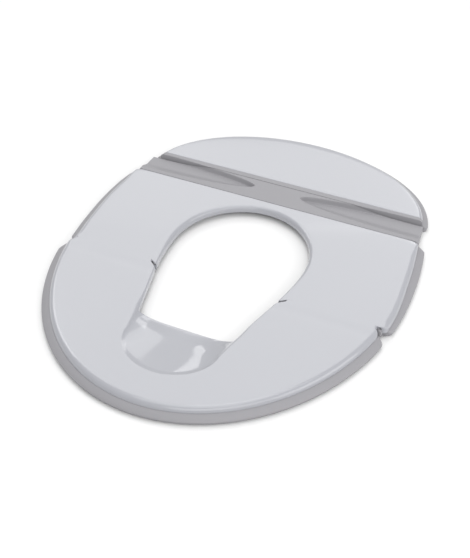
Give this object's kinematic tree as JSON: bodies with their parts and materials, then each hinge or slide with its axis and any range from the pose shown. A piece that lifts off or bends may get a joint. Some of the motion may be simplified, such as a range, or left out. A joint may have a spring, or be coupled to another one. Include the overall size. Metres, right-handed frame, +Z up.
{
  "type": "folding travel toilet seat insert for toilet training",
  "caption": "Slim folding child's toilet seat insert: oval ring with a keyhole opening and splash scoop, grey skirt, and a crescent rear flap.",
  "frame": {"origin": "on the floor under the middle of the open seat's outline", "axes": "+Z up, +Y to the rear flap, +X to the right seen from the front"},
  "size_m": [0.3178, 0.4049, 0.0116],
  "materials": {
    "seat_plastic": "satin gloss moulded polypropylene, pale lavender grey",
    "trim_plastic": "fine matte moulded plastic, mid grey",
    "grip_rubber": "matte soft rubber",
    "web_elastomer": "matte flexible elastomer",
    "screw_steel": "zinc plated"
  },
  "bodies": {
    "front": {"front_seat_shell": "seat_plastic", "front_base": "trim_plastic", "front_grip_pad_left": "grip_rubber", "front_grip_pad_right": "grip_rubber", "front_grip_pad_centre": "grip_rubber", "front_screws": "screw_steel"},
    "middle": {"middle_seat_shell": "seat_plastic", "middle_base": "trim_plastic", "rear_bridge": "trim_plastic", "middle_grip_pad_left": "grip_rubber", "middle_grip_pad_right": "grip_rubber", "middle_screws": "screw_steel", "fold_web_left": "seat_plastic", "fold_web_right": "seat_plastic", "flap_web": "web_elastomer"},
    "flap": {"flap_seat_shell": "seat_plastic", "flap_base": "trim_plastic", "flap_grip_pad_left": "grip_rubber", "flap_grip_pad_right": "grip_rubber", "flap_screws": "screw_steel"}
  },
  "joints": [
    {"name": "fold_hinge", "type": "hinge", "parent": "middle", "child": "front", "pos_m": [0, -0.0415, 0.01175], "axis": [-1, 0, 0], "range_deg": [0, 180], "deforming": ["fold_web_left", "fold_web_right"]},
    {"name": "flap_hinge", "type": "hinge", "parent": "middle", "child": "flap", "pos_m": [0, 0.1115, 0.0004], "axis": [-1, 0, 0], "range_deg": [0, 180], "deforming": ["flap_web"]}
  ]
}
